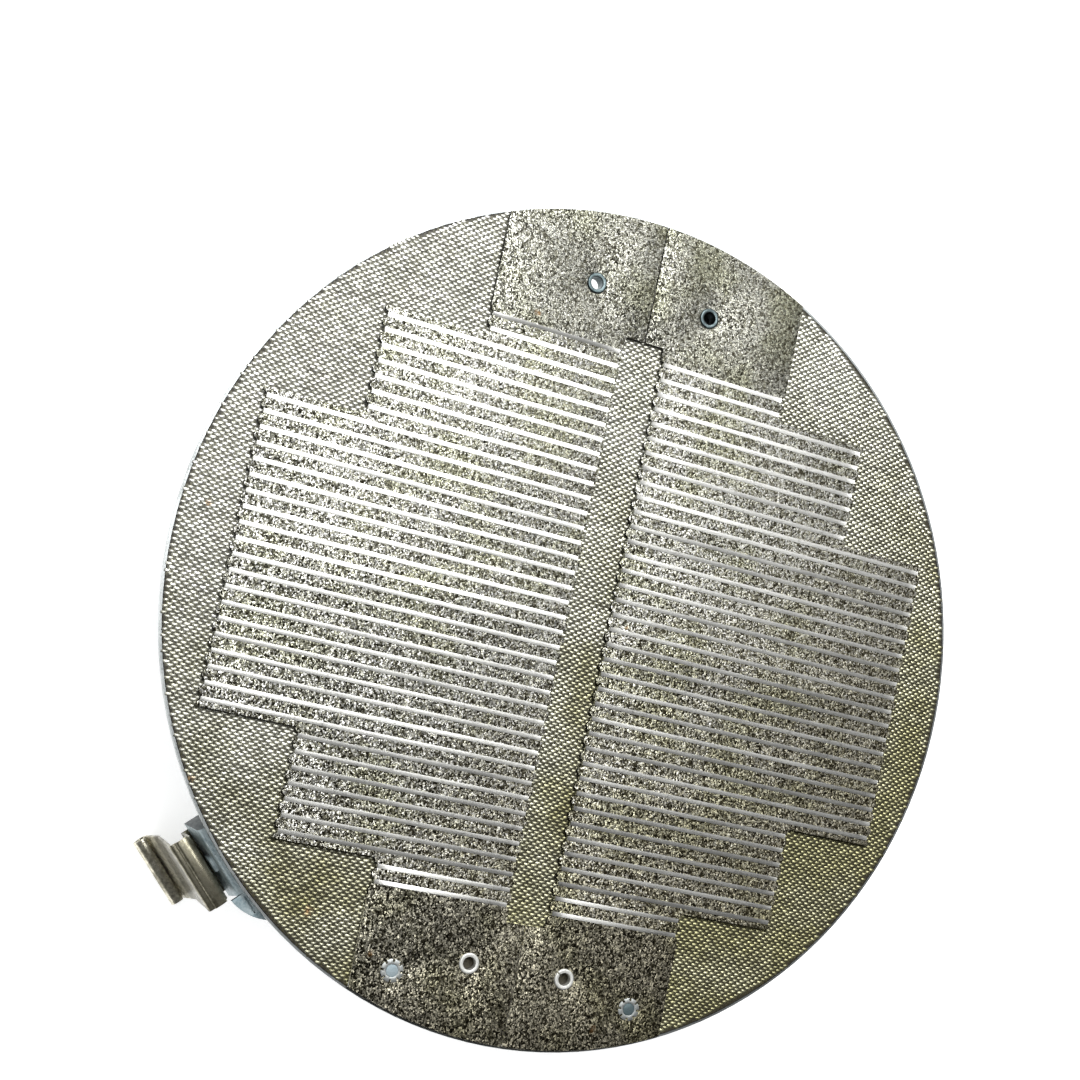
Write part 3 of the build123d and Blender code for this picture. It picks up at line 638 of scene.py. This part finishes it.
def weaveBoard():
    rng = random.Random(weave["seed"])
    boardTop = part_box("base_board")[1].z
    weft = floatShape("weft", 0.0)
    warp = floatShape("warp", 1.0)
    names = ["boardWeaveUpperLeft", "boardWeaveLowerLeft", "boardWeaveMiddle", "boardWeaveUpperRight",
             "boardWeaveLowerRight"]
    patches = {name: bmesh.new() for name in names}
    columns = int(weave["reach"] / weave["columnPitch"]) + 1
    rows = int(weave["reach"] / weave["rowPitch"]) + 1
    rowTone = [rng.uniform(*weave["rowTones"]) for _ in range(2 * rows + 1)]
    rowShift = [rng.uniform(-0.5, 0.5) * weave["jitter"] for _ in range(2 * rows + 1)]
    turn = math.radians(weave["turn"])
    farther = Vector((7.3, 2.1, 4.0))
    for j in range(-rows, rows + 1):
        for i in range(-columns, columns + 1):
            x = i * weave["columnPitch"]
            y = j * weave["rowPitch"] + rowShift[j + rows]
            place = Vector((x, y, 0)) / weave["wanderPeriod"]
            x += noise.noise(place) * weave["wander"] + rng.uniform(-1, 1) * weave["jitter"]
            y += noise.noise(place + farther) * weave["wander"] + rng.uniform(-1, 1) * weave["jitter"]
            x, y = x * math.cos(turn) - y * math.sin(turn), x * math.sin(turn) + y * math.cos(turn)
            isWeft = (i + j) % 2 == 0
            if math.hypot(x, y) > weave["radius"] - weave["rimGap"] or hiddenByCard(x, y):
                continue
            shape = weft if isWeft else warp
            tone = rowTone[j + rows] * rng.uniform(*weave["floatTones"])
            shape.attributes["threadTone"].data.foreach_set("value", [tone] * len(shape.vertices))
            skew = math.radians(rng.uniform(-weave["skew"], weave["skew"])) + turn
            skew += 0 if isWeft else math.pi / 2
            size = rng.uniform(*weave["sizes"])
            tip = math.radians(rng.uniform(-weave["tip"], weave["tip"]))
            lift = boardTop - weave["sink"] * mm
            pose = (Matrix.Translation((x * mm, y * mm, lift)) @ Matrix.Rotation(skew, 4, "Z")
                    @ Matrix.Rotation(tip, 4, "X")
                    @ Matrix.Diagonal((size, size, rng.uniform(*weave["heights"]), 1.0)))
            copy = shape.copy()
            copy.transform(pose)
            side = ("Upper" if y > 0 else "Lower") + ("Left" if x < 0 else "Right")
            if abs(x) < cards["halfWidths"][0]:
                side = "Middle"
            patches["boardWeave" + side].from_mesh(copy)
            bpy.data.meshes.remove(copy)
    for name, bm in patches.items():
        piece = finishPiece(name, bm, "wovenThreads", angle=180.0)
        print("stage:", name, len(piece.data.polygons), "faces")
    bpy.data.meshes.remove(weft)
    bpy.data.meshes.remove(warp)


weaveBoard()

# The ribbon windings: one long strip for each card.
ribbon = {
    "width": 1.0, "thickness": 0.14, "innerEdge": 5.9, "notchDepth": 0.9, "bend": 0.16,
    "step": 2.4, "crown": 0.02, "standOff": 0.95, "returnRise": 0.25,
    "shift": 0.05, "sway": 0.035, "lean": 1.6, "twist": 0.8, "lift": 0.05, "settle": 0.05, "seed": 5,
    "phases": 6.28, "topLean": 14.0, "endLean": -13.0, "endRuns": 2,
}


def runPlaces():
    narrow, middle, wide = cards["halfWidths"]
    widths = []
    for count, half in zip(cards["runGroups"], (narrow, middle, wide, middle, narrow)):
        widths += [half] * count
    first, pitch, notch = cards["firstRun"], cards["runPitch"], ribbon["notchDepth"]
    return [(first - i * pitch, half - notch) for i, half in enumerate(widths)]


# Place, lean and lift of each cross line of the strip, from the top run down.
def ribbonPath(side, rng, low, high):
    path = []
    runs = runPlaces()
    standOff = ribbon["thickness"] * ribbon["standOff"]
    bend = ribbon["bend"]
    inner = ribbon["innerEdge"] - standOff
    for i, (level, reach) in enumerate(runs):
        outer = reach + standOff
        shift = rng.uniform(-1, 1) * ribbon["shift"]
        lean = math.radians(rng.gauss(0, ribbon["lean"]))
        if side < 0 and i == 0:
            lean = math.radians(ribbon["topLean"])
        ending = math.radians(ribbon["endLean"]) if i >= len(runs) - ribbon["endRuns"] else 0.0
        phase = rng.uniform(0, ribbon["phases"])
        count = max(8, int((outer - inner) / ribbon["step"]))
        path.append((outer, level, low + ribbon["returnRise"], 0, 0))
        path.append((outer, level, high - bend * 1.5, 0, 0))
        path.append((outer - 0.10 * bend, level + shift, high - bend * 0.7, 0, 0))
        path.append((outer - 0.45 * bend, level + shift, high - bend * 0.2, lean * 0.4, 0))
        for k in range(count + 1):
            share = k / count
            x = (outer - bend) + (inner + bend - outer + bend) * share
            near = min(1.0, min(share, 1 - share) * 6)
            sway = ribbon["sway"] * math.sin(phase + x / 11.0) * near
            rise = ribbon["lift"] * near * (0.5 + 0.5 * math.sin(phase * 1.7 + x / 17.0))
            turn = lean * (0.5 + 0.5 * near)
            turn += math.radians(ribbon["twist"]) * math.sin(phase + x / 7.0) * near
            turn += ending * min(1.0, near * 5) * (1 - share if side < 0 else share)
            path.append((x, level + shift + sway, high - ribbon["settle"], turn, rise))
        path.append((inner + 0.45 * bend, level + shift, high - bend * 0.2, lean * 0.4, 0))
        path.append((inner + 0.10 * bend, level + shift, high - bend * 0.7, 0, 0))
        path.append((inner, level, high - bend * 1.5, 0, 0))
        path.append((inner, level, low + ribbon["returnRise"], 0, 0))
        if i + 1 < len(runs):
            following, nextReach = runs[i + 1]
            nextOuter = nextReach + standOff
            for share in (0.004, 0.012, 0.25, 0.5, 0.75, 0.988, 0.996):
                depth = 0.08 if 0.01 < share < 0.99 else 0.14
                path.append((inner + (nextOuter - inner) * share, level + (following - level) * share,
                             low + depth, 0, 0))
    return path


def windRibbon(side, name, node):
    rng = random.Random(ribbon["seed"] + (side > 0))
    low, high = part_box(node)[0].z / mm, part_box(node)[1].z / mm
    path = ribbonPath(side, rng, low, high)
    bm = bmesh.new()
    bmesh.ops.create_grid(bm, x_segments=len(path) - 1, y_segments=4, size=0.5)
    last = len(path) - 1
    for vert in bm.verts:
        step = round((vert.co.x + 0.5) * last)
        across = vert.co.y * ribbon["width"]
        x, y, z, lean, rise = path[step]
        crown = ribbon["crown"] * (1 - 4 * vert.co.y ** 2) if lean else 0.0
        vert.co = Vector((side * x, y + across * math.cos(lean), z + across * math.sin(lean) + crown)) * mm
    bmesh.ops.recalc_face_normals(bm, faces=bm.faces)
    top = max(bm.faces, key=lambda f: f.calc_center_median().z)
    if top.normal.z < 0:
        bmesh.ops.reverse_faces(bm, faces=bm.faces)
    bmesh.ops.solidify(bm, geom=bm.faces, thickness=ribbon["thickness"] * mm)
    piece = finishPiece(name, bm, "ribbonMetal", [node], angle=50.0)
    print("stage:", name, len(piece.data.polygons), "faces")


windRibbon(-1, "leftRibbonWinding", "left_ribbon")
windRibbon(1, "rightRibbonWinding", "right_ribbon")

softened = [
    ("left_winding_card", "leftMicaCard", "micaCard", "mica_card", 0.07),
    ("right_winding_card", "rightMicaCard", "micaCard", "mica_card", 0.07),
    ("rim_bracket", "rimBracketSheet", "zincBracket", "zinc_bracket", 0.18),
    ("spring_clip", "springClipStrip", "springSteel", "spring_steel", 0.12),
    ("left_link_eyelet", "leftLinkEyelet", "eyeletSteel", "eyelet_steel", 0.05),
    ("right_link_eyelet", "rightLinkEyelet", "eyeletSteel", "eyelet_steel", 0.05),
    ("left_lead_eyelet", "leftLeadEyelet", "leadSteel", "eyelet_steel", 0.05),
    ("right_lead_eyelet", "rightLeadEyelet", "leadSteel", "eyelet_steel", 0.05),
    ("left_star_eyelet", "leftStarEyelet", "petalSteel", "eyelet_steel", 0.06),
    ("right_star_eyelet", "rightStarEyelet", "petalSteel", "eyelet_steel", 0.06),
    ("left_terminal_pin", "leftTerminalPin", "palePin", "pin_steel", 0.08),
    ("right_terminal_pin", "rightTerminalPin", "dullPin", "pin_steel", 0.08),
    ("left_terminal_tab", "leftTerminalTab", "tinnedBrass", "tab_brass", 0.1),
    ("right_terminal_tab", "rightTerminalTab", "tinnedBrass", "tab_brass", 0.1),
    ("left_terminal_bush", "leftTerminalBush", "steatite", "ceramic", 0.15),
    ("right_terminal_bush", "rightTerminalBush", "steatite", "ceramic", 0.15),
    ("bracket_rivets", "bracketRivets", "rivetSteel", "rivet_steel", 0.1),
    ("clip_rivets", "clipRivets", "rivetSteel", "rivet_steel", 0.1),
]
for node, name, finish, slotName, edge in softened:
    piece = softenedCopy(node, name, finish, edge)
    print("stage:", name, len(piece.data.polygons), "faces")

plainNodes = {
    "carrier_pan": "zincPan", "mica_sheet": "micaCard", "base_board": "boardResin",
    "series_link": "nickelStrip", "left_lead_strap": "nickelStrip", "right_lead_strap": "nickelStrip",
}
for node, finish in plainNodes.items():
    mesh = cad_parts[node].data
    mesh.materials.clear()
    mesh.materials.append(finishes[finish])
print("stage: CAD nodes finished")
